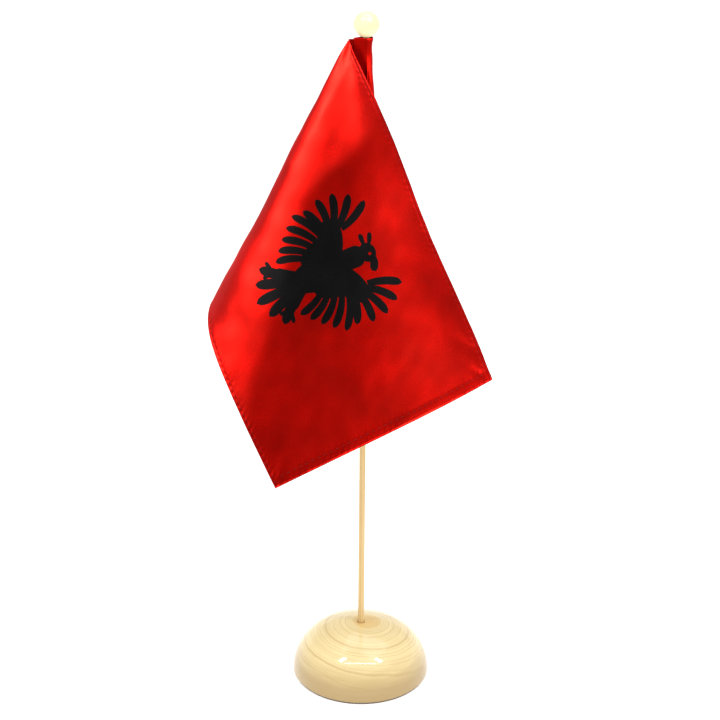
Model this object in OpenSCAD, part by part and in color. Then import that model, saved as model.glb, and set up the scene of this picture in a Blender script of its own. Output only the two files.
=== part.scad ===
// Desk flag stand: a turned wooden dome with a blind hole, a thin pole with a ball finial,
// and a small satin flag whose sewn sleeve hangs on the pole under the ball.
// Origin at the centre of the pad's underside, +Z up, -Y is the side the flag shows its face.

/* [Base] */
// Diameter of the dome's foot
base_d = 61; // [50:1:74]
// Height of the whole base, pad included
base_h = 24.4; // [22:0.2:30]
// Radius of the shallow crown arc on top of the dome
crown_r = 43; // [40:1:46]
// Thickness of the pad under the dome
pad_t = 0.8; // [0.5:0.1:2]
// How far the pad stays inside the dome's foot
pad_inset = 0.6; // [0.2:0.1:3]
// Depth of the pole's blind hole
hole_depth = 18; // [12:1:19]

/* [Pole] */
// Diameter of the pole
pole_d = 2.7; // [2:0.1:4]
// Height of the ball's centre above the table
ball_z = 293.8; // [260:0.2:340]
// Diameter of the ball finial
ball_d = 10.3; // [8:0.1:14]
// Depth of the ball's glued socket
socket_depth = 7; // [4:0.5:8]

/* [Flag] */
// Finished length of the cloth along the fly
fly = 152; // [120:1:165]
// Finished height of the cloth along the hoist
hoist = 103; // [90:1:120]
// Thickness that the cloth's solid is given
cloth_t = 0.6; // [0.4:0.1:0.8]
// Width of the folded hems
hem_w = 4.5; // [3:0.5:8]
// Thickness that each hem adds behind the cloth
hem_t = 0.4; // [0.3:0.1:0.6]
// Wall of the sleeve sewn along the hoist
sleeve_wall = 0.6; // [0.4:0.1:1]

/* [Drape] */
// Width of the flat strip between the sleeve and the top of the fold
strip_w = 5.2; // [4:0.1:6]
// Direction of that strip, seen from above
strip_dir = 194; // [180:1:200]
// Direction in which the cloth leaves the strip, seen from above
leave_dir = 172; // [165:1:180]
// Turn of the cloth round its left-hand fold, in degrees
fold_turn = 176; // [160:1:184]
// Angle from the hoist edge to the middle of the fold
fold_at = 31; // [29:1:33]
// Half the angle that the fold is spread over
fold_half = 25; // [22:1:27]
// How strongly the top edge curls towards the front
lip_curl = 1.6; // [0:0.1:2]
// Angle from the hoist edge at which that curl begins
lip_from = 50; // [46:1:54]

/* [Hidden] */
$fn = 96;
pole_r = pole_d / 2;
hole_gap = 0.05;        // radial clearance of the pole in the base
sleeve_gap = 0.08;      // radial clearance of the sleeve on the pole
glue_gap = 0.02;        // radial glue line in the ball's socket
hole_chamfer = 0.5;
hole_floor_z = base_h - hole_depth;
ball_flat = 0.25;       // flat turned on the ball's underside
ball_bottom_z = ball_z - ball_d / 2 + ball_flat;
sleeve_in_r = pole_r + sleeve_gap;
sleeve_r = sleeve_in_r + sleeve_wall;
cloth_top_z = ball_bottom_z - 0.6;
hoist_x = -(sleeve_r - 0.1);   // the cloth's hoist edge is sewn into the sleeve's wall
fan_w = fly - strip_w;         // length of the top edge from the fold's top to the fly
pinch = 5;              // the solid starts this far below the fold's top, where the fold is too tight
corner = atan(fan_w / hoist);
swing_steps = 90;
thread_w = 0.4;
thread_t = 0.15;
thread_gap = 0.02;
edge_stitch = 1.2;      // distance of the edge seam from the cloth's edge
fly_stitch = hem_w - 1; // distance of the fly seam from the cloth's edge
sleeve_stitch = 3.2;    // distance of the sleeve's seam from the hoist edge
strip_step = 3;         // spacing of the points along a hem or a seam

// ---- Base profile: a shallow crown arc that runs into a rounder side arc ----

crown_z = base_h - crown_r;
foot_r = base_d / 2;
// The side arc is upright at the foot and tangent to the crown arc.
side_r = (crown_r * crown_r - foot_r * foot_r - pow(pad_t - crown_z, 2))
    / (2 * (crown_r - foot_r));
join_angle = atan2(foot_r - side_r, pad_t - crown_z);

function dome_outline() = concat(
    [[0, pad_t]],
    [for (i = [0:20]) let (a = i * (90 - join_angle) / 20)
        [foot_r - side_r + side_r * cos(a), pad_t + side_r * sin(a)]],
    [for (i = [1:10]) let (a = join_angle * (1 - i / 10))
        [crown_r * sin(a), crown_z + crown_r * cos(a)]]);

module base() {
    color("burlywood")
        difference() {
            rotate_extrude() polygon(dome_outline());
            translate([0, 0, hole_floor_z])
                cylinder(r = pole_r + hole_gap, h = hole_depth + 1);
            translate([0, 0, base_h - hole_chamfer])
                cylinder(r1 = pole_r + hole_gap, r2 = pole_r + hole_gap + 2 * hole_chamfer,
                    h = 2 * hole_chamfer);
        }
}

module base_pad() {
    color("dimgray") cylinder(r = foot_r - pad_inset, h = pad_t);
}

// ---- Pole and ball ----

module pole() {
    color("wheat")
        translate([0, 0, hole_floor_z])
            cylinder(r = pole_r, h = ball_bottom_z + socket_depth - hole_floor_z);
}

module finial_ball() {
    color("cornsilk")
        difference() {
            translate([0, 0, ball_z]) sphere(d = ball_d);
            translate([-ball_d, -ball_d, ball_bottom_z - ball_d])
                cube([2 * ball_d, 2 * ball_d, ball_d]);
            translate([0, 0, ball_bottom_z - 1])
                cylinder(r = pole_r + glue_gap, h = socket_depth + 1);
        }
}

// ---- Cloth: a narrow strip beside the pole, then straight lines that fan out from its top ----
// The cloth stays flat along each line. The line swings from straight down, along the hoist,
// to the top edge, and the curl says how its path turns on the way.

function bump(x) = abs(x) < 1 ? (1 + cos(180 * x)) / 2 : 0;
function ramp(x) = x < 0 ? 0 : x > 1 ? 1 : x * x * (3 - 2 * x);
function curl(a) = -fold_turn / fold_half * bump((a - fold_at) / fold_half)
    + lip_curl * ramp((a - lip_from) / fold_half);

// A state is [direction of the line, direction it swings towards].
function swing(s, a) = [s[0] * cos(a) + s[1] * sin(a), s[1] * cos(a) - s[0] * sin(a)];
function roll(s, a) = [s[0], s[1] * cos(a) + cross(s[0], s[1]) * sin(a)];
function next_state(s, a, step) = swing(roll(s, curl(a + step / 2) * step), step);

swing_step = 90 / swing_steps;
states = [for (i = 0, s = [[0, 0, -1], [cos(leave_dir), sin(leave_dir), 0]];
    i <= swing_steps;
    s = next_state(s, i * swing_step, swing_step), i = i + 1) s];

function state_at(a) = let (i = min(floor(a / swing_step), swing_steps - 1),
    f = a / swing_step - i) (1 - f) * states[i] + f * states[i + 1];
function unit(v) = v / norm(v);

// The strip beside the sleeve is flat and upright, and the fan starts at its outer top corner.
strip_way = [cos(strip_dir), sin(strip_dir), 0];
strip_face = cross([0, 0, -1], strip_way);
function strip_top(u) = [hoist_x, 0, cloth_top_z] + u * strip_way;

// A place on the cloth: u along the fly, v down the hoist, lift out of its printed face.
function strip_point(u, v, lift) = strip_top(u) - [0, 0, v] + lift * strip_face;
function fan_point(u, v, lift) = let (s = state_at(atan2(u, v)))
    strip_top(strip_w) + norm([u, v]) * unit(s[0]) + lift * unit(cross(s[0], s[1]));
function cloth_point(u, v, lift) =
    u < strip_w ? strip_point(u, v, lift) : fan_point(u - strip_w, v, lift);

// A closed sheet between two lifts over a grid of [u, v] places, given row by row.
module sheet(grid, low, high) {
    rows = len(grid);
    cols = len(grid[0]);
    n = rows * cols;
    points = [for (lift = [low, high]) for (row = grid) for (p = row)
        cloth_point(p[0], p[1], lift)];
    rim = concat(
        [for (j = [0:cols - 1]) j],
        [for (i = [1:rows - 1]) i * cols + cols - 1],
        [for (j = [cols - 2:-1:0]) (rows - 1) * cols + j],
        [for (i = [rows - 2:-1:1]) i * cols]);
    faces = concat(
        [for (i = [0:rows - 2]) for (j = [0:cols - 2]) let (k = i * cols + j)
            each [[k, k + cols, k + cols + 1], [k, k + cols + 1, k + 1]]],
        [for (i = [0:rows - 2]) for (j = [0:cols - 2]) let (k = n + i * cols + j)
            each [[k, k + cols + 1, k + cols], [k, k + 1, k + cols + 1]]],
        [for (i = [0:len(rim) - 1]) let (a = rim[i], b = rim[(i + 1) % len(rim)])
            each [[a, b, b + n], [a, b + n, a + n]]]);
    polyhedron(points, faces, convexity = 6);
}

function steps(from, to, count) = [for (i = [0:count]) from + (to - from) * i / count];
function edge_reach(a) = a < corner ? hoist / cos(a) : fan_w / sin(a);
function patch(us, vs) = [for (v = vs) [for (u = us) [u, v]]];

module flag_panel() {
    angles = concat(steps(0, corner, 30), [for (a = steps(corner, 90, 14)) if (a > corner) a]);
    strip_rows = [for (u = steps(0, strip_w, 2)) if (u < strip_w)
        [for (v = steps(pinch, hoist, 12)) [u, v]]];
    fan_rows = [for (a = angles) [for (r = steps(pinch, edge_reach(a), 12))
        [strip_w + r * sin(a), r * cos(a)]]];
    color("crimson") sheet(concat(strip_rows, fan_rows), -cloth_t / 2, cloth_t / 2);
}

module hoist_sleeve() {
    color("firebrick")
        translate([0, 0, cloth_top_z - hoist])
            difference() {
                cylinder(r = sleeve_r, h = hoist);
                translate([0, 0, -1]) cylinder(r = sleeve_in_r, h = hoist + 2);
            }
}

// ---- Hems, folded to the back of the cloth, and the threads that hold them ----

module hem(us, vs) {
    color("red") sheet(patch(us, vs), -cloth_t / 2 - hem_t, -cloth_t / 2);
}

module thread(us, vs) {
    color("darkred")
        sheet(patch(us, vs), cloth_t / 2 + thread_gap, cloth_t / 2 + thread_gap + thread_t);
}

function along(from, to) = steps(from, to, ceil((to - from) / strip_step));
function across(middle) = [middle - thread_w / 2, middle + thread_w / 2];

module top_hem() hem(along(strip_w + 3 * pinch, fly), [0, hem_w]);
module fly_hem() hem([fly - hem_w, fly], along(hem_w, hoist - hem_w));
module bottom_hem() hem(along(hem_w, fly), [hoist - hem_w, hoist]);

module sleeve_stitching() thread(across(sleeve_stitch), along(pinch, hoist));
module top_stitching() thread(along(strip_w + 3 * pinch, fly - edge_stitch), across(edge_stitch));
module fly_stitching() thread(across(fly - fly_stitch), along(hem_w, hoist - hem_w));
module bottom_stitching() thread(along(hem_w, fly - edge_stitch), across(hoist - edge_stitch));

base();
base_pad();
pole();
finial_ball();
flag_panel();
hoist_sleeve();
top_hem();
fly_hem();
bottom_hem();
sleeve_stitching();
top_stitching();
fly_stitching();
bottom_stitching();
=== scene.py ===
"""Looks of the desk flag stand: a turned dome, a dowel, a ball and a hung satin flag.

Shapes are worked out in millimetres and become metres when a mesh is made.
"""

import math

import bpy
import numpy as np
from mathutils import Matrix, Vector
from mathutils.geometry import delaunay_2d_cdt
from mathutils.kdtree import KDTree


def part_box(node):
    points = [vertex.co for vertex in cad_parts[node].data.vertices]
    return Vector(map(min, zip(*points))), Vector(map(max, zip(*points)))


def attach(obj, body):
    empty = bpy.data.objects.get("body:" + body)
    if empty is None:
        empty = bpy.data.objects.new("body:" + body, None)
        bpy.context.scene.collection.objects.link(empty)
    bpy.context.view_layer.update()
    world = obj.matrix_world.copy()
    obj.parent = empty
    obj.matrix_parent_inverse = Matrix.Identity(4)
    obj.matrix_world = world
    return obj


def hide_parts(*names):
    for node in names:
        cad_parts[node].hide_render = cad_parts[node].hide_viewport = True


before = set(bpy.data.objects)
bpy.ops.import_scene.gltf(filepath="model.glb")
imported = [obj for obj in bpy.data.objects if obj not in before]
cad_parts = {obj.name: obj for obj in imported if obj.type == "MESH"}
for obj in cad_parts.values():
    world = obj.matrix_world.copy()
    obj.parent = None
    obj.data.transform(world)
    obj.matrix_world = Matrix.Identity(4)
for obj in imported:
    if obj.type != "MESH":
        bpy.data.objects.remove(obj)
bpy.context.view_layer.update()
MM = 0.001


# ---- Dimensions, from the CAD frame ----

def box_mm(node):
    """The lowest and highest corners of a CAD node, in millimetres."""
    low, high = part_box(node)
    return np.array(low) / MM, np.array(high) / MM


BASE_LOW, BASE_HIGH = box_mm("base")
POLE_LOW, POLE_HIGH = box_mm("pole")
BALL_LOW, BALL_HIGH = box_mm("finial_ball")
SLEEVE_LOW, SLEEVE_HIGH = box_mm("hoist_sleeve")

FOOT_R = BASE_HIGH[0]
POLE_R = POLE_HIGH[0]
BALL_R = BALL_HIGH[0]
SLEEVE_R = SLEEVE_HIGH[0]
PAD_T = BASE_LOW[2]
PAD_R = box_mm("base_pad")[1][0]
CLOTH_TOP = SLEEVE_HIGH[2]

# The drape, as in the CAD source
HOIST = SLEEVE_HIGH[2] - SLEEVE_LOW[2]
FLY = 152.0
STRIP_W = 5.2
STRIP_DIR = 194.0
LEAVE_DIR = 172.0
FOLD_TURN = 176.0
FOLD_AT = 31.0
FOLD_HALF = 25.0
LIP_CURL = 1.6
LIP_FROM = 50.0
HOIST_X = -(SLEEVE_R - 0.1)

# Finer cloth details
CLOTH_HALF = 0.12       # half the thickness of one layer
HEM_EXTRA = 0.40        # what the folded hem adds behind the cloth
EDGE_HEM = 2.6          # width of the narrow hems along the top and bottom edges
FLY_HEM = 4.5           # width of the hem along the fly
EDGE_SEAM = 1.3         # distance of the narrow hems' seam from the edge
FLY_SEAM = 3.5          # distance of the fly seam from the edge
SLEEVE_SEAM = 3.2       # distance of the sleeve's seam from the hoist edge
STITCH = 2.7            # pitch of the stitches
THREAD_R = 0.10
FOLD_ROUND = 0.3        # extra radius that the fold keeps right up to its top
RIDGE_FROM = 16.0       # distance from the fold's top where the ridge meets the top edge
RIDGE_BEND = 54.0       # how much further it takes to turn down into the fold
RIDGE_ANGLE = 48.5      # its angle from the hoist edge further down
RIDGE_START = 34.0      # angle at which the slope on its left begins
RIDGE_RISE = (0.32, 0.17)   # steepness on its left, near the top and further down
RIDGE_FALL = (0.14, 0.09)   # steepness on its right
RIDGE_ROUND = 1.6       # how softly it turns over
RIDGE_WAY = np.array((0.0, -0.95, 0.31))    # the way it stands out
PRINT_MIDDLE = np.array((83.0, 50.0))       # the bird's middle on the flat cloth


# ---- Mesh helpers ----

def make_object(name, verts, faces, materials, smooth_angle=40.0):
    """An object from vertices in millimetres, with sharp edges above the given angle."""
    mesh = bpy.data.meshes.new(name)
    mesh.from_pydata([tuple(v) for v in np.asarray(verts, float) * MM], [], faces)
    mesh.validate()
    for material in materials:
        mesh.materials.append(material)
    mesh.polygons.foreach_set("use_smooth", [True] * len(mesh.polygons))
    mesh.set_sharp_from_angle(angle=math.radians(smooth_angle))
    piece = bpy.data.objects.new(name, mesh)
    bpy.context.scene.collection.objects.link(piece)
    return piece


def arc(centre, radius, start, end, count):
    """Points of (radius, height) on an arc, angles in degrees from the radial direction."""
    angles = np.radians(np.linspace(start, end, count))
    return [(centre[0] + radius * math.cos(a), centre[1] + radius * math.sin(a)) for a in angles]


def lathe(outline, sides, wobble=None):
    """Vertices and faces of an outline of (radius, height) points turned about +Z."""
    verts, rings, faces = [], [], []
    turn = np.linspace(0, 2 * math.pi, sides, endpoint=False)
    for radius, height in outline:
        if radius < 1e-6:
            rings.append([len(verts)] * sides)
            verts.append((0, 0, height))
            continue
        rings.append(list(range(len(verts), len(verts) + sides)))
        reach = radius + (wobble(turn, height) if wobble else 0 * turn)
        verts += [(r * math.cos(a), r * math.sin(a), height) for r, a in zip(reach, turn)]
    for low, high in zip(rings, rings[1:]):
        for i in range(sides):
            j = (i + 1) % sides
            face = [low[i], low[j], high[j], high[i]]
            faces.append(list(dict.fromkeys(face)))
    return verts, [f for f in faces if len(f) > 2]


def tube(points, radii, sides):
    """A closed round tube along points, with a point at each end."""
    points = np.asarray(points, float)
    ways = np.gradient(points, axis=0)
    ways /= np.linalg.norm(ways, axis=1)[:, None]
    side = np.cross(ways, (0.31, 0.52, 0.79))
    side /= np.linalg.norm(side, axis=1)[:, None]
    up = np.cross(ways, side)
    verts = [points[0] - ways[0] * radii[0] * 0.5]
    for p, s, u, r in zip(points, side, up, radii):
        verts += [p + r * (s * math.cos(a) + u * math.sin(a))
                  for a in np.linspace(0, 2 * math.pi, sides, endpoint=False)]
    verts.append(points[-1] + ways[-1] * radii[-1] * 0.5)
    faces = []
    for i in range(sides):
        j = (i + 1) % sides
        faces.append([0, 1 + j, 1 + i])
        for k in range(len(points) - 1):
            a, b = 1 + k * sides, 1 + (k + 1) * sides
            faces.append([a + i, a + j, b + j, b + i])
        last = 1 + (len(points) - 1) * sides
        faces.append([last + i, last + j, len(verts) - 1])
    return verts, faces


# ---- Material helpers ----

class Shader:
    """A small builder for one procedural material."""

    def __init__(self, name):
        self.material = bpy.data.materials.new(name)
        self.material.use_nodes = True
        self.tree = self.material.node_tree
        self.tree.nodes.clear()
        self.surface = self.add("ShaderNodeBsdfPrincipled")
        output = self.add("ShaderNodeOutputMaterial")
        self.tree.links.new(self.surface.outputs["BSDF"], output.inputs["Surface"])

    def add(self, kind, inputs=None, **settings):
        node = self.tree.nodes.new(kind)
        for key, value in settings.items():
            setattr(node, key, value)
        self.put(node, inputs or {})
        return node

    def put(self, node, inputs):
        for key, value in inputs.items():
            socket = node.inputs[key]
            if isinstance(value, bpy.types.NodeSocket):
                self.tree.links.new(value, socket)
            else:
                socket.default_value = value

    def math(self, operation, a, b=0.0, c=0.0, clamp=False):
        node = self.add("ShaderNodeMath", {0: a, 1: b, 2: c}, operation=operation, use_clamp=clamp)
        return node.outputs[0]

    def noise(self, vector, scale, detail=2.0, roughness=0.5):
        inputs = {"Vector": vector, "Scale": scale, "Detail": detail, "Roughness": roughness}
        return self.add("ShaderNodeTexNoise", inputs).outputs["Fac"]

    def scaled(self, vector, factors):
        inputs = {"Vector": vector, "Scale": factors}
        return self.add("ShaderNodeMapping", inputs).outputs["Vector"]

    def ramp(self, value, stops):
        """A smooth grey or colour ramp from (place, colour) stops."""
        node = self.add("ShaderNodeValToRGB", {"Fac": value})
        elements = node.color_ramp.elements
        while len(elements) < len(stops):
            elements.new(0.5)
        for element, (place, colour) in zip(elements, stops):
            element.position = place
            element.color = (*colour, 1)
        return node.outputs["Color"]

    def mix(self, factor, a, b):
        node = self.add("ShaderNodeMix", data_type="RGBA")
        for name, value in (("Factor", factor), ("A", a), ("B", b)):
            socket = [s for s in node.inputs if s.name == name and s.enabled][0]
            if isinstance(value, bpy.types.NodeSocket):
                self.tree.links.new(value, socket)
            else:
                socket.default_value = value if name == "Factor" else (*value, 1)
        return [s for s in node.outputs if s.enabled][0]

    def bump(self, height, strength, distance):
        inputs = {"Height": height, "Strength": strength, "Distance": distance}
        return self.add("ShaderNodeBump", inputs).outputs["Normal"]

    def place(self):
        return self.add("ShaderNodeTexCoord").outputs["Object"]


def grey(value):
    return (value, value, value)


def turned_wood(name, centre, light, dark, core, core_r, ring, contrast):
    """Pale wood with growth rings round an axis near +Z, under clear lacquer.

    Below foot_height the tone darkens and the rings fade. This stands in for the shade near the
    table, which the bright floor takes away.
    """
    foot_height = 0.016
    foot_tone = tuple(0.78 * c for c in dark)
    s = Shader(name)
    place = s.place()
    drift = s.noise(place, 38.0, 2.0)
    flat = s.add("ShaderNodeVectorMath", {0: place, 1: (1.0, 1.0, 0.10)}, operation="MULTIPLY")
    moved = s.add("ShaderNodeVectorMath", {0: flat.outputs[0], 1: (*centre, 0.0)},
                  operation="SUBTRACT")
    radius = s.add("ShaderNodeVectorMath", {0: moved.outputs[0]}, operation="LENGTH")
    wavy = s.math("MULTIPLY_ADD", drift, 0.0016, radius.outputs["Value"])
    fine = s.math("MULTIPLY_ADD", s.noise(place, 260.0, 3.0), 0.0005, wavy)
    count = s.math("DIVIDE", fine, ring)
    uneven = s.add("ShaderNodeTexNoise", {"W": count, "Scale": 0.55, "Detail": 1.0},
                   noise_dimensions="1D").outputs["Fac"]
    phase = s.math("FRACT", s.math("MULTIPLY_ADD", uneven, 2.6, count))
    line = s.ramp(phase, [(0.0, grey(0.0)), (0.62, grey(0.18)), (0.86, grey(1.0)), (1.0, grey(0.0))])
    strength = s.add("ShaderNodeTexNoise", {"W": count, "Scale": 0.9, "Detail": 2.0},
                     noise_dimensions="1D").outputs["Fac"]
    height = s.add("ShaderNodeSeparateXYZ", {0: place}).outputs["Z"]
    rise = s.math("DIVIDE", height, foot_height)
    faint = s.ramp(rise, [(0.0, grey(0.35)), (1.0, grey(1.0))])
    lined = s.math("MULTIPLY", line, s.math("MULTIPLY", strength, contrast), clamp=True)
    lined = s.math("MULTIPLY", lined, faint)
    cloud = s.noise(s.scaled(place, (1.0, 1.0, 2.4)), 60.0, 2.0)
    patch = s.ramp(cloud, [(0.36, grey(0.0)), (0.70, grey(0.50))])
    foot = s.ramp(rise, [(0.0, grey(1.0)), (1.0, grey(0.3))])
    body = s.mix(s.math("MULTIPLY", patch, foot), light, dark)
    colour = s.mix(lined, body, dark)
    near = s.math("DIVIDE", wavy, core_r)
    heart = s.ramp(near, [(0.0, grey(0.75)), (0.80, grey(0.55)), (1.0, grey(0.0))])
    colour = s.mix(heart, colour, core)
    streak = s.noise(s.scaled(place, (900.0, 900.0, 220.0)), 1.0, 3.0)
    colour = s.mix(s.math("MULTIPLY", streak, 0.16), colour, dark)
    level = s.noise(s.scaled(place, (45.0, 45.0, 520.0)), 1.0, 2.0)
    band = s.ramp(level, [(0.40, grey(0.0)), (0.66, grey(0.45))])
    colour = s.mix(s.math("MULTIPLY", band, foot), colour, dark)
    shade = s.ramp(rise, [(0.0, grey(1.0)), (0.40, grey(0.88)), (0.74, grey(0.30)), (1.0, grey(0.0))])
    colour = s.mix(shade, colour, foot_tone)
    grain = s.bump(s.math("ADD", s.math("MULTIPLY", line, 0.6), streak), 0.10, 0.0001)
    s.put(s.surface, {"Base Color": colour, "Normal": grain, "Roughness": 0.42,
                      "Coat Weight": 0.9, "Coat Roughness": 0.06, "Coat IOR": 1.5})
    return s.material


def pole_wood():
    """A sanded dowel with its grain along +Z."""
    s = Shader("pole_wood")
    place = s.place()
    grain = s.noise(s.scaled(place, (900.0, 900.0, 14.0)), 1.0, 4.0, 0.6)
    fleck = s.noise(s.scaled(place, (2600.0, 2600.0, 160.0)), 1.0, 2.0)
    tone = s.noise(s.scaled(place, (60.0, 60.0, 11.0)), 1.0, 1.0)
    colour = s.ramp(grain, [(0.30, (0.50, 0.30, 0.10)), (0.52, (0.71, 0.49, 0.20)),
                            (0.75, (0.80, 0.60, 0.28))])
    colour = s.mix(s.math("MULTIPLY", fleck, 0.25), colour, (0.55, 0.34, 0.16))
    colour = s.mix(s.math("MULTIPLY", tone, 0.35), colour, (0.84, 0.63, 0.32))
    normal = s.bump(s.math("ADD", grain, s.math("MULTIPLY", fleck, 0.5)), 0.35, 0.00012)
    s.put(s.surface, {"Base Color": colour, "Normal": normal, "Roughness": 0.55})
    return s.material


def felt():
    """Dark pressed felt."""
    s = Shader("felt")
    place = s.place()
    fibre = s.noise(place, 2600.0, 4.0, 0.7)
    cloud = s.noise(place, 240.0, 2.0)
    colour = s.ramp(fibre, [(0.3, (0.05, 0.035, 0.025)), (0.7, (0.16, 0.12, 0.085))])
    colour = s.mix(s.math("MULTIPLY", cloud, 0.4), colour, (0.10, 0.075, 0.05))
    s.put(s.surface, {"Base Color": colour, "Normal": s.bump(fibre, 0.8, 0.0003),
                      "Roughness": 0.95, "Sheen Weight": 0.3, "Sheen Roughness": 0.6})
    return s.material


def satin(name, light, dark, shine, roughness, gloss, tint):
    """Woven satin. Its long threads run along the fly, so its shine is stretched across them."""
    s = Shader(name)
    flat = s.add("ShaderNodeUVMap", uv_map="flat").outputs["UV"]
    threads = s.noise(s.scaled(flat, (1.0, 7.0, 1.0)), 1.0, 2.0)
    floats = s.noise(s.scaled(flat, (2.2, 4.2, 1.0)), 1.0, 2.0)
    cloud = s.noise(flat, 0.055, 2.0)
    tone = s.ramp(cloud, [(0.3, grey(0.0)), (0.7, grey(1.0))])
    colour = s.mix(tone, dark, light)
    slubs = s.noise(s.scaled(flat, (1.5, 2.4, 1.0)), 1.0, 2.0)
    speck = s.ramp(slubs, [(0.38, grey(1.0)), (0.58, grey(0.0))])
    colour = s.mix(s.math("MULTIPLY", speck, 0.70), colour, dark)
    height = s.math("MULTIPLY_ADD", threads, 0.5, floats)
    normal = s.bump(height, 0.40, 0.00013)
    rough = s.math("MULTIPLY_ADD", floats, 0.12, roughness)
    tangent = s.add("ShaderNodeTangent", direction_type="UV_MAP", uv_map="flat").outputs["Tangent"]
    s.put(s.surface, {"Base Color": colour, "Normal": normal, "Roughness": rough,
                      "Metallic": shine, "Anisotropic": 0.6, "Tangent": tangent,
                      "Specular IOR Level": gloss, "Specular Tint": (*tint, 1.0)})
    return s.material


def thread_material():
    s = Shader("thread")
    place = s.place()
    twist = s.noise(place, 5200.0, 1.0)
    colour = s.ramp(twist, [(0.3, (0.07, 0.001, 0.001)), (0.7, (0.15, 0.001, 0.001))])
    s.put(s.surface, {"Base Color": colour, "Normal": s.bump(twist, 0.6, 0.0001),
                      "Roughness": 0.75, "Specular IOR Level": 0.12})
    return s.material


def floor_material():
    s = Shader("floor")
    cloud = s.noise(s.place(), 6.0, 2.0)
    colour = s.ramp(cloud, [(0.3, (0.93, 0.93, 0.93)), (0.7, (0.955, 0.953, 0.95))])
    s.put(s.surface, {"Base Color": colour, "Roughness": 0.9, "Specular IOR Level": 0.1,
                      "Emission Color": (1.0, 1.0, 1.0, 1.0), "Emission Strength": 0.40})
    return s.material


# ---- Camera, stage and lights ----

def add_camera():
    """A long lens a little above the stand. Its place and lens were fitted to the outline."""
    data = bpy.data.cameras.new("camera")
    data.sensor_width = 36.0
    data.lens = 87.55
    camera = bpy.data.objects.new("camera", data)
    pitch, yaw, roll = 22.24, 0.12, 0.5
    turn = (Matrix.Rotation(math.radians(yaw), 4, "Z")
            @ Matrix.Rotation(math.radians(90 - pitch), 4, "X")
            @ Matrix.Rotation(math.radians(roll), 4, "Z"))
    camera.matrix_world = Matrix.Translation((0.0, -0.686, 0.432)) @ turn
    bpy.context.scene.collection.objects.link(camera)
    bpy.context.scene.camera = camera


def add_light(name, place, aim, size, power, only=()):
    """A rectangular soft light at place, facing aim. only is the pieces that it is masked to."""
    data = bpy.data.lights.new(name, "AREA")
    data.shape = "RECTANGLE"
    data.size, data.size_y = size
    data.energy = power
    light = bpy.data.objects.new(name, data)
    way = Vector(aim) - Vector(place)
    light.matrix_world = Matrix.Translation(place) @ way.to_track_quat("-Z", "Y").to_matrix().to_4x4()
    bpy.context.scene.collection.objects.link(light)
    if only:
        lit = bpy.data.collections.new(name + "_lights")
        for piece in only:
            lit.objects.link(piece)
        light.light_linking.receiver_collection = lit


def add_stage(flag):
    """A white swept floor, a white world and the lights. The two key lights are masked: one to
    the flag's pieces, the other to its sleeve, which is the second piece of flag."""
    flat_r, sweep_r, wall_h = 4500.0, 1000.0, 1500.0
    outline = [(0, 0), (flat_r / 2, 0)] + arc((flat_r, sweep_r), sweep_r, -90, 0, 12)
    outline += [(flat_r + sweep_r, wall_h)]
    verts, faces = lathe(outline, 96)
    floor = make_object("floor", verts, faces, [floor_material()])
    world = bpy.data.worlds.new("world")
    world.use_nodes = True
    background = world.node_tree.nodes["Background"]
    background.inputs["Color"].default_value = (1.0, 1.0, 1.0, 1)
    background.inputs["Strength"].default_value = 0.60
    bpy.context.scene.world = world
    bpy.context.scene.view_settings.view_transform = "Standard"
    middle = (0.0, 0.0, 0.15)
    add_light("overhead", (0.1, 0.25, 1.5), middle, (1.2, 1.2), 7.0)
    for side in (-1, 1):
        add_light("window_light", (side * 0.50, -0.32, 1.04), (0, 0, 0.02), (0.13, 0.27), 2.0)
    add_light("front_strip", (0, -0.50, 0.98), (0, 0, 0.02), (0.90, 0.050), 2.4)
    add_light("left_key", (-0.97, -0.14, 1.05), (-0.02, -0.02, 0.22), (0.5, 0.6), 83.0, only=flag)
    add_light("right_key", (0.80, -0.62, 0.60), (0, 0, 0.26), (0.3, 0.5), 56.0, only=flag[1:2])


# ---- Wooden parts ----

def make_dome():
    """The turned dome: a shallow crown arc runs into a side arc that is upright at the foot."""
    crown_r = 43.0
    top = BASE_HIGH[2]
    crown_z = top - crown_r
    side_r = (crown_r ** 2 - FOOT_R ** 2 - (PAD_T - crown_z) ** 2) / (2 * (crown_r - FOOT_R))
    join = math.degrees(math.atan2(FOOT_R - side_r, PAD_T - crown_z))
    edge = 0.6
    hole_gap, chamfer = 0.05, 0.5
    hole_r = POLE_R + hole_gap
    hole_floor = POLE_LOW[2]
    rim_r = hole_r + chamfer
    rim_turn = math.degrees(math.asin(rim_r / crown_r))
    outline = [(0, PAD_T), (FOOT_R - 4, PAD_T)]
    outline += arc((FOOT_R - edge, PAD_T + edge), edge, -90, 0, 7)
    outline += arc((FOOT_R - side_r, PAD_T), side_r, 3, 90 - join, 60)
    outline += arc((0, crown_z), crown_r, 90 - join + 0.8, 90 - rim_turn, 40)
    outline += [(hole_r + 0.12, top - 0.45), (hole_r, top - 0.8), (hole_r, hole_floor + 1)]
    outline += [(hole_r, hole_floor), (0, hole_floor)]
    verts, faces = lathe(outline, 192)
    wood = turned_wood("base_wood", (0.0027, 0.0012), (0.91, 0.74, 0.38), (0.52, 0.34, 0.11),
                       (0.80, 0.50, 0.13), 0.0085, 0.00135, 0.90)
    dome = make_object("dome_base", verts, faces, [wood])
    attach(dome, "base")
    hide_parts("base")


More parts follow.
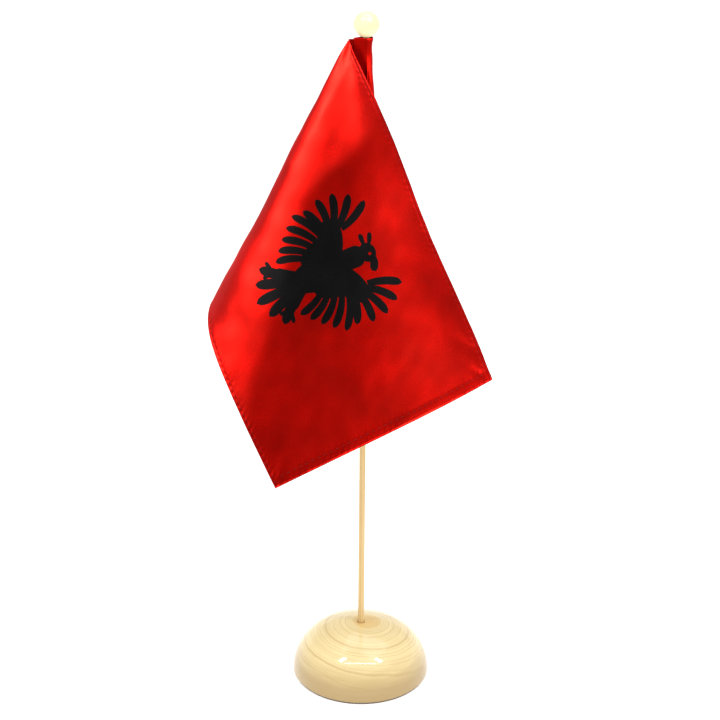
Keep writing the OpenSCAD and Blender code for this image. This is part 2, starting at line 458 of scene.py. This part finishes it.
def make_pad():
    edge = 0.2
    outline = [(0, 0)] + arc((PAD_R - edge, edge), edge, -90, 0, 4)
    outline += arc((PAD_R - edge, PAD_T - edge), edge, 0, 90, 4) + [(0, PAD_T)]
    rng = np.random.default_rng(4)
    phases = rng.uniform(0, 2 * math.pi, 12)

    def fray(turn, height):
        return sum(0.02 * np.sin((17 + 9 * k) * turn + phases[k]) for k in range(12)) * 0.5

    verts, faces = lathe(outline, 360, fray)
    pad = make_object("felt_pad", verts, faces, [felt()])
    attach(pad, "base")
    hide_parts("base_pad")


def make_pole():
    low, high = POLE_LOW[2], POLE_HIGH[2]
    bevel = 0.3
    heights = np.linspace(low + bevel, high - bevel, 220)
    outline = [(0, low), (POLE_R - bevel, low)] + [(POLE_R, z) for z in heights]
    outline += [(POLE_R - bevel, high), (0, high)]

    def grain(turn, height):
        return -0.012 * (1 + np.sin(7 * turn + 0.05 * height) * np.sin(3 * turn - 0.11 * height)
                         + 0.5 * np.sin(19 * turn + 0.31 * height))

    verts, faces = lathe(outline, 48, grain)
    pole = make_object("wooden_pole", verts, faces, [pole_wood()])
    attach(pole, "pole")
    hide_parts("pole")


def make_ball():
    middle = BALL_HIGH[2] - BALL_R
    flat = BALL_LOW[2]
    socket_r = POLE_R + 0.02
    start = math.degrees(math.asin((flat - middle) / BALL_R))
    outline = [(0, POLE_HIGH[2]), (socket_r, POLE_HIGH[2]), (socket_r, flat + 0.15),
               (socket_r + 0.15, flat)]
    outline += arc((0, middle), BALL_R, start, 90, 60)[:-1] + [(0, BALL_HIGH[2])]

    def turning(turn, height):
        return 0.012 * np.sin(2 * turn + 1.0) + 0.008 * math.sin(height * 4.0) - 0.02

    verts, faces = lathe(outline, 96, turning)
    wood = turned_wood("ball_wood", (0.0009, -0.0006), (0.90, 0.81, 0.48), (0.80, 0.64, 0.32),
                       (0.86, 0.74, 0.42), 0.0012, 0.0013, 0.6)
    ball = make_object("ball_finial", verts, faces, [wood])
    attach(ball, "pole")
    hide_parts("finial_ball")


# ---- The hung cloth ----

def smooth(x):
    x = np.clip(x, 0, 1)
    return x * x * (3 - 2 * x)


def fan_states():
    """The fan's line and swing directions at every quarter degree, as in the CAD source."""
    step = 0.25
    line = np.array((0.0, 0.0, -1.0))
    leave = math.radians(LEAVE_DIR)
    way = np.array((math.cos(leave), math.sin(leave), 0.0))
    states = []
    for angle in np.arange(0, 90 + step, step):
        states.append((line, way))
        x = (angle + step / 2 - FOLD_AT) / FOLD_HALF
        curl = LIP_CURL * smooth((angle + step / 2 - LIP_FROM) / FOLD_HALF)
        if abs(x) < 1:
            curl -= FOLD_TURN / FOLD_HALF * (1 + math.cos(math.pi * x)) / 2
        a, b = math.radians(curl * step), math.radians(step)
        way = way * math.cos(a) + np.cross(line, way) * math.sin(a)
        line, way = line * math.cos(b) + way * math.sin(b), way * math.cos(b) - line * math.sin(b)
    return step, np.array(states)


FAN_STEP, FAN = fan_states()


def cloth_frame(u, v):
    """Places on the undisturbed cloth and the directions out of its printed face."""
    u, v = np.asarray(u, float), np.asarray(v, float)
    strip = math.radians(STRIP_DIR)
    strip_way = np.array((math.cos(strip), math.sin(strip), 0.0))
    strip_face = np.cross((0, 0, -1), strip_way)
    origin = np.array((HOIST_X, 0.0, CLOTH_TOP))
    across = np.minimum(u, STRIP_W)[:, None]
    on_strip = origin + across * strip_way - v[:, None] * np.array((0, 0, 1.0))
    fan_u = np.maximum(u - STRIP_W, 0)
    reach = np.hypot(fan_u, v)
    index = np.degrees(np.arctan2(fan_u, np.maximum(v, 1e-9))) / FAN_STEP
    low = np.minimum(index.astype(int), len(FAN) - 2)
    part = (index - low)[:, None, None]
    state = FAN[low] * (1 - part) + FAN[low + 1] * part
    line = state[:, 0] / np.linalg.norm(state[:, 0], axis=1)[:, None]
    face = np.cross(line, state[:, 1])
    face /= np.linalg.norm(face, axis=1)[:, None]
    on_fan = origin + STRIP_W * strip_way + reach[:, None] * line
    inside = (u <= STRIP_W)[:, None]
    place = np.where(inside, on_strip, on_fan)
    facing = np.where(inside, strip_face, face)
    round_lift = FOLD_ROUND * smooth(reach / 5) * smooth((u - STRIP_W + 1.5) / 6)
    return place + facing * round_lift[:, None], facing


def waves(u, v, length, count, seed):
    """A smooth random surface of about unit height, from plane waves of the given length."""
    rng = np.random.default_rng(seed)
    total = np.zeros_like(u, float)
    for _ in range(count):
        turn = rng.uniform(0, 2 * math.pi)
        phase = rng.uniform(0, 2 * math.pi)
        stretch = rng.uniform(0.75, 1.4)
        k = 2 * math.pi / (length * stretch)
        total += np.sin(k * (u * math.cos(turn) + v * math.sin(turn)) + phase)
    return total / math.sqrt(count)


def seam_row(distance, along, seam, depth, pucker, reach, slant, seed):
    """The dents of one row of stitches and the small puckers that lean away from it."""
    rng = np.random.default_rng(seed)
    phase = rng.uniform(0, 2 * math.pi)
    stitch = np.cos(2 * math.pi * along / STITCH)
    dents = -depth * np.exp(-((distance - seam) / 0.45) ** 2) * (0.65 + 0.35 * stitch)
    uneven = 0.6 + 0.4 * np.sin(along / 5.3 + phase) * np.sin(along / 2.1 + 2 * phase)
    lean = np.cos(2 * math.pi * (along + slant * distance) / STITCH + phase)
    fade = np.exp(-(np.maximum(distance - seam, 0) / reach) ** 2) * smooth(distance / 0.6)
    return dents + pucker * uneven * lean * fade


def crease(u, v, start, end, width, height):
    """A soft raised crease along one line on the flat cloth."""
    start, end = np.array(start), np.array(end)
    way = end - start
    share = np.clip(((u - start[0]) * way[0] + (v - start[1]) * way[1]) / (way @ way), 0, 1)
    away = np.hypot(u - start[0] - share * way[0], v - start[1] - share * way[1])
    return height * np.exp(-(away / width) ** 2)


def cloth_relief(u, v):
    """How far the cloth stands out of its smooth drape: waves, puckers, seams and hems."""
    top, fly, bottom = v, FLY - u, HOIST - v
    calm = smooth((u - 6) / 12)
    relief = calm * (0.45 * waves(u, v, length=58, count=6, seed=11)
                     + 0.10 * waves(u, v, length=21, count=8, seed=12))
    relief += calm * 0.05 * waves(u, v, length=9, count=8, seed=13)
    relief += seam_row(top, u, EDGE_SEAM, depth=0.12, pucker=0.06, reach=1.8, slant=0.5,
                       seed=21) * smooth((u - 8) / 4)
    relief += seam_row(bottom, u, EDGE_SEAM, depth=0.14, pucker=0.10, reach=1.9, slant=0.6,
                       seed=22) * smooth((u - 6) / 4)
    relief += seam_row(fly, v, FLY_SEAM, depth=0.06, pucker=0.06, reach=3.0, slant=0.4, seed=23)
    # The fly: a plump rolled edge, then the step up to the panel past the turned hem
    plump = 0.8 + 0.2 * np.sin(v / 3.1) * np.sin(v / 7.3 + 1)
    relief += 0.48 * plump * np.exp(-(fly / 0.65) ** 2)
    turned = 0.12 * smooth((fly - 0.6) / 0.7) + 0.36 * plump * smooth((fly - 2.0) / 2.4)
    relief += turned * np.exp(-np.maximum(fly - 4.4, 0) / 10)
    relief += crease(u, v, (FLY - 21, 9.0), (FLY - 15, 4.0), width=2.4, height=0.28)
    relief += crease(u, v, (FLY - 7.5, 7.5), (FLY - 2.5, 2.5), width=1.5, height=0.22)
    relief += crease(u, v, (FLY - 9, HOIST - 8), (FLY - 3, HOIST - 3), width=1.8, height=0.22)
    edge = np.minimum(np.minimum(top, bottom), fly)
    return relief, edge


def ridge_lift(u, v):
    """A soft ridge between the turned fold and the flat front. It starts on the top edge a
    little below the fold's top and then follows one line of the fan."""
    reach = np.hypot(u - STRIP_W, v)
    angle = np.degrees(np.arctan2(np.maximum(u - STRIP_W, 0), np.maximum(v, 1e-9)))
    ridge = RIDGE_ANGLE + (90 - RIDGE_ANGLE) * (1 - smooth((reach - RIDGE_FROM) / RIDGE_BEND))
    near = 1 - smooth((reach - RIDGE_FROM) / 40)
    rise = RIDGE_RISE[1] + (RIDGE_RISE[0] - RIDGE_RISE[1]) * near
    fall = RIDGE_FALL[1] + (RIDGE_FALL[0] - RIDGE_FALL[1]) * near
    left = np.maximum(np.radians(angle - RIDGE_START) * reach, 0)
    right = np.radians(angle - ridge) * reach
    over = RIDGE_ROUND * np.logaddexp(0, right / RIDGE_ROUND)
    start = smooth(left / 6)
    return (rise * left - (rise + fall) * over) * start


def hem_cover(u, v):
    """1 where the hem is folded behind the cloth, 0 elsewhere, with a narrow step between."""
    step = 0.35
    top = smooth((EDGE_HEM - v) / step)
    bottom = smooth((EDGE_HEM - (HOIST - v)) / step)
    fly = smooth((FLY_HEM - (FLY - u)) / step)
    return 1 - (1 - top) * (1 - bottom) * (1 - fly)


def cloth_layers(u, v):
    """The printed and the back surface of the cloth at flat places."""
    place, facing = cloth_frame(u, v)
    relief, edge = cloth_relief(u, v)
    place = place + ridge_lift(u, v)[:, None] * RIDGE_WAY
    fold = np.clip(edge / 0.35, 0, 1)
    full = np.sqrt(np.maximum(1 - (1 - fold) ** 2, 0))
    hoist = np.sqrt(np.maximum(1 - (1 - np.clip(u / 0.2, 0, 1)) ** 2, 0))
    middle = relief - 0.5 * HEM_EXTRA * hem_cover(u, v)
    half = (CLOTH_HALF + 0.5 * HEM_EXTRA * hem_cover(u, v)) * full * hoist
    front = place + facing * (middle + half)[:, None]
    back = place + facing * (middle - half)[:, None]
    return front, back


# ---- The print: a plain spread-winged bird, drawn with feathers and round shapes ----

def oval(centre, rx, ry, count=36, tilt=0.0):
    turn = np.linspace(0, 2 * math.pi, count, endpoint=False)
    x, y = rx * np.cos(turn), ry * np.sin(turn)
    t = math.radians(tilt)
    return np.stack([centre[0] + x * math.cos(t) - y * math.sin(t),
                     centre[1] + x * math.sin(t) + y * math.cos(t)], 1)


def feather(root, way, length, width, bend=0.0, root_share=0.5):
    """A rounded feather that starts at root, points along way and turns by bend degrees."""
    s = np.linspace(0, 1, 16)
    angles = np.radians(way + bend * s)
    step = length / (len(s) - 1)
    x = root[0] + np.concatenate([[0], np.cumsum(np.cos(angles[:-1]) * step)])
    y = root[1] + np.concatenate([[0], np.cumsum(np.sin(angles[:-1]) * step)])
    half = width / 2 * (root_share + (1 - root_share) * np.sin(np.minimum(s / 0.72, 1) * math.pi / 2))
    tip = np.clip((s - 0.72) / 0.28, 0, 1)
    half = half * np.sqrt(np.maximum(1 - tip ** 2, 0.004))
    nx, ny = -np.sin(angles), np.cos(angles)
    left = np.stack([x + nx * half, y + ny * half], 1)
    right = np.stack([x - nx * half, y - ny * half], 1)
    return np.concatenate([right, left[::-1]])


def bird():
    """Outlines in millimetres about the bird's middle, +y towards its head. The last is its eye."""
    parts = [oval((0, 0), 6.6, 12.5), feather((0, 6), 90, 13.5, 8.6, -8, 0.9),
             oval((1.0, 20.6), 3.9, 3.5, tilt=8), feather((3.2, 21.4), 14, 6.0, 3.4, -80, 0.9),
             feather((-1.0, 22.0), 140, 5.6, 2.0, 22), feather((-1.6, 20.2), 165, 5.4, 2.0, 22)]
    for side in (-1, 1):
        wing = [feather((2.0, 4.5), 44, 17.5, 10.0, -52, 0.85), oval((7.0, 2.5), 4.8, 8.0, tilt=-14)]
        for k in range(5):
            share = k / 4
            root = (12.0 + 1.4 * math.sin(math.pi * share), 15.2 - 6.6 * share)
            wing.append(feather(root, 80 - 84 * share, 14.6 - 1.0 * share, 3.3, -30, 0.75))
        for k in range(5):
            share = k / 4
            root = (12.6 - 5.4 * share, 6.6 - 9.4 * share)
            wing.append(feather(root, -14 - 40 * share, 14.6 - 2.4 * share, 3.1, -34, 0.75))
        wing.append(feather((3.0, -8.5), -58, 9.5, 3.4, 8, 0.9))
        for k in range(3):
            wing.append(feather((8.4, -16.4), -102 + 40 * k, 5.2, 1.7, 14))
        parts += [outline * np.array((side, 1)) for outline in wing]
    for k in range(-2, 3):
        parts.append(feather((1.3 * k, -9.5), -90 + 16 * k, 18.5 - 1.6 * abs(k), 4.2, 7 * k, 0.6))
    parts.append(oval((1.9, 21.3), 0.65, 0.65, 14))
    return parts


def counter_clockwise(outline):
    x, y = outline[:, 0], outline[:, 1]
    area = np.sum(x * np.roll(y, -1) - np.roll(x, -1) * y)
    return outline if area > 0 else outline[::-1]


def print_outlines():
    """The bird's outlines on the flat cloth, its head towards the top edge."""
    return [counter_clockwise(PRINT_MIDDLE + outline * np.array((1.0, -1.0))) for outline in bird()]


# ---- Cutting the cloth into triangles that follow the print's outline ----

def flat_points():
    """Places on the flat cloth: fine rows along the edges and a plain grid inside."""
    near = [0, 0.05, 0.14, 0.24, 0.36, 0.6, 0.85, 1.1, 1.3, 1.5, 1.75, 2.1, 2.35, 2.6, 3.0]
    near += [3.3, 3.5, 3.7, 4.15, 4.5, 5.1]
    hoist_near = [0, 0.06, 0.2, 0.7, 1.3, 1.9, 2.5, 3.2, 4.0, STRIP_W]
    fine, plain = 0.62, 1.3
    band = near[-1]
    us = np.concatenate([hoist_near, np.arange(STRIP_W + fine, FLY - band - 0.3, fine),
                         [FLY - d for d in reversed(near)]])
    vs = np.concatenate([near, np.arange(band + fine, HOIST - band - 0.3, fine),
                         [HOIST - d for d in reversed(near)]])
    grid_u, grid_v = np.meshgrid(us, vs)
    u, v = grid_u.ravel(), grid_v.ravel()
    edge = np.minimum(np.minimum(v, HOIST - v), FLY - u)
    keep = (edge <= band + 1e-6) | (u <= STRIP_W + 1e-6)
    banded = np.stack([u[keep], v[keep]], 1)
    inner_u, inner_v = np.meshgrid(np.arange(STRIP_W + plain, FLY - band - 0.6, plain),
                                   np.arange(band + 0.8, HOIST - band - 0.5, plain))
    inner = np.stack([inner_u.ravel(), inner_v.ravel()], 1)
    inner[:, 0] += np.where((np.arange(len(inner)) // inner_u.shape[1]) % 2, 0.5 * plain, 0)
    return banded, inner


def cut_cloth():
    """Flat places, triangles, and which triangles carry the print."""
    outlines = print_outlines()
    banded, inner = flat_points()
    drawn = np.concatenate(outlines)
    tree = KDTree(len(drawn))
    for i, p in enumerate(drawn):
        tree.insert((p[0], p[1], 0), i)
    tree.balance()
    clear = 0.42
    inner = np.array([p for p in inner if tree.find((p[0], p[1], 0))[2] > clear])
    points = [Vector(p) for p in np.concatenate([drawn, banded, inner])]
    faces, start = [], 0
    for outline in outlines:
        faces.append(list(range(start, start + len(outline))))
        start += len(outline)
    places, _, triangles, _, _, owners = delaunay_2d_cdt(points, [], faces, 0, 1e-5)
    eye = len(outlines) - 1
    printed = [bool(owner) and eye not in owner for owner in owners]
    return np.array([tuple(p) for p in places]), triangles, printed


def make_cloth(red, black):
    flat, triangles, printed = cut_cloth()
    u, v = flat[:, 0], flat[:, 1]
    front, back = cloth_layers(u, v)
    count = len(flat)
    rim = (v < 1e-4) | (v > HOIST - 1e-4) | (u > FLY - 1e-4) | (u < 1e-4)
    behind = np.where(rim, np.arange(count), np.arange(count) + count)
    verts = np.concatenate([front, back])
    faces, inks = [], []
    for (a, b, c), ink in zip(triangles, printed):
        if rim[a] and rim[b] and rim[c]:
            continue
        x, y = flat[b] - flat[a], flat[c] - flat[a]
        if x[0] * y[1] - x[1] * y[0] > 0:
            b, c = c, b
        faces += [[a, b, c], [behind[a], behind[c], behind[b]]]
        inks += [int(ink), int(ink)]
    used = np.zeros(len(verts), bool)
    used[np.concatenate(faces)] = True
    number = np.cumsum(used) - 1
    faces = [[int(number[i]) for i in face] for face in faces]
    places = np.concatenate([flat, flat])[used]
    cloth = make_object("flag_cloth", verts[used], faces, [red, black], 75.0)
    mesh = cloth.data
    mesh.polygons.foreach_set("material_index", inks)
    layer = mesh.uv_layers.new(name="flat")
    corners = np.array([loop.vertex_index for loop in mesh.loops])
    layer.data.foreach_set("uv", places[corners].ravel())
    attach(cloth, "flag")
    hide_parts("flag_panel", "top_hem", "fly_hem", "bottom_hem")
    return cloth


# ---- Sleeve and stitches ----

def sleeve_reach(depth, turn):
    """The sleeve's outer radius at a depth below its top. turn is measured from the seam."""
    away = (1 - np.cos(turn)) / 2
    loose = 0.15 + 1.35 * smooth((depth - 5) / 20) * away ** 2
    gather = 0.45 * np.exp(-(depth / 2.2) ** 2) * away
    ripple = 0.16 * np.sin(depth / 4.1 + 2 * turn) + 0.12 * np.sin(depth / 2.3 - 3 * turn + 1)
    hem = 0.12 * np.exp(-((depth - 0.7) / 0.5) ** 2)
    return SLEEVE_R + loose + gather + ripple * smooth(depth / 8) + hem


def sleeve_ring(depth, inset):
    """One level of the sleeve: round about the pole, running to a point at its seam."""
    tip = SLEEVE_SEAM - HOIST_X - inset * 1.5
    turns = np.linspace(0, 2 * math.pi, 72, endpoint=False)
    reach = sleeve_reach(depth, turns) - inset
    towards = np.cos(turns)
    line = np.where(towards > 0.05, tip * reach / np.maximum(
        reach * np.maximum(towards, 0.05) + np.sqrt(tip ** 2 - reach ** 2) * np.abs(np.sin(turns)),
        1e-6), 0)
    radius = np.where(turns < 1e-9, tip, np.maximum(reach, line))
    angle = math.radians(STRIP_DIR) + turns
    height = CLOTH_TOP - depth + 0.5 * math.exp(-(depth / 1.5) ** 2)
    return np.stack([radius * np.cos(angle), radius * np.sin(angle), np.full_like(angle, height)], 1)


def make_sleeve(red):
    depths = np.concatenate([[0.0, 0.12, 0.35, 0.7, 1.1, 1.5], np.linspace(2, HOIST - 2, 110),
                             [HOIST - 1.1, HOIST - 0.7, HOIST - 0.35, HOIST - 0.12, HOIST]])
    wall, rim_share = 0.26, 0.3     # the wall's thickness, and how much of it the rims keep
    outer = [sleeve_ring(d, 0.0) for d in depths]
    inner = [sleeve_ring(d, wall) for d in depths]
    for rings in (outer, inner):
        for end in (0, -1):
            middle = (outer[end] + inner[end]) / 2
            rings[end] = middle + (rings[end] - middle) * rim_share
    loops = outer + inner[::-1]
    sides = len(outer[0])
    faces = []
    for i in range(len(loops)):
        a, b = i * sides, ((i + 1) % len(loops)) * sides
        for j in range(sides):
            k = (j + 1) % sides
            faces.append([a + j, b + j, b + k, a + k])
    sleeve = make_object("flag_sleeve", np.concatenate(loops), faces, [red], 60.0)
    mesh = sleeve.data
    side_width = 0.3
    around = np.tile(np.arange(sides) * side_width, len(loops))
    down = np.repeat(np.concatenate([depths, depths[::-1]]), sides)
    layer = mesh.uv_layers.new(name="flat")
    corners = np.array([loop.vertex_index for loop in mesh.loops])
    layer.data.foreach_set("uv", np.stack([around[corners], down[corners]], 1).ravel())
    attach(sleeve, "flag")
    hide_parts("hoist_sleeve")
    return sleeve


def stitch_row(name, node, start, end, thread):
    """Both faces of one row of lockstitch between two flat places."""
    start, end = np.array(start, float), np.array(end, float)
    length = np.linalg.norm(end - start)
    way = (end - start) / length
    verts, faces = [], []
    for layer in (0, 1):
        first = STITCH * (0.5 + 0.5 * layer)
        for middle in np.arange(first, length - STITCH / 2, STITCH):
            s = middle + np.linspace(-0.36, 0.36, 5) * STITCH
            flat = start + s[:, None] * way
            surface = cloth_layers(flat[:, 0], flat[:, 1])[layer]
            facing = cloth_frame(flat[:, 0], flat[:, 1])[1] * (1 if layer == 0 else -1)
            sink = np.array((-1.2, 0.0, 0.25, 0.0, -1.2)) * THREAD_R
            radii = np.array((0.6, 1.0, 1.0, 1.0, 0.6)) * THREAD_R
            v, f = tube(surface + facing * sink[:, None], radii, 6)
            faces += [[i + len(verts) for i in face] for face in f]
            verts += v
    row = make_object(name, verts, faces, [thread])
    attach(row, "flag")
    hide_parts(node)
    return row


def make_stitches():
    thread = thread_material()
    seam = FLY - FLY_SEAM
    return [
        stitch_row("sleeve_stitches", "sleeve_stitching", (SLEEVE_SEAM + 0.7, 1.5),
                   (SLEEVE_SEAM + 0.7, HOIST - 1.5), thread),
        stitch_row("top_stitches", "top_stitching", (STRIP_W + 3.5, EDGE_SEAM),
                   (FLY - 0.8, EDGE_SEAM), thread),
        stitch_row("fly_stitches", "fly_stitching", (seam, EDGE_SEAM + 1), (seam, HOIST - EDGE_SEAM - 1),
                   thread),
        stitch_row("bottom_stitches", "bottom_stitching", (STRIP_W, HOIST - EDGE_SEAM),
                   (FLY - 0.8, HOIST - EDGE_SEAM), thread),
    ]


def make_flag():
    """The cloth, its sleeve and its stitches, in that order."""
    red = satin("red_satin", (0.262, 0.0003, 0.0002), (0.16, 0.0001, 0.0001),
                shine=0.76, roughness=0.31, gloss=0.45, tint=(1.0, 0.21, 0.085))
    black = satin("black_print", (0.002, 0.002, 0.002), (0.001, 0.001, 0.001),
                  shine=0.0, roughness=0.48, gloss=0.02, tint=(1.0, 0.9, 0.9))
    cloth = make_cloth(red, black)
    sleeve = make_sleeve(red)
    stitches = make_stitches()
    return [cloth, sleeve, *stitches]


add_camera()
make_dome()
make_pad()
make_pole()
make_ball()
flag = make_flag()
add_stage(flag)
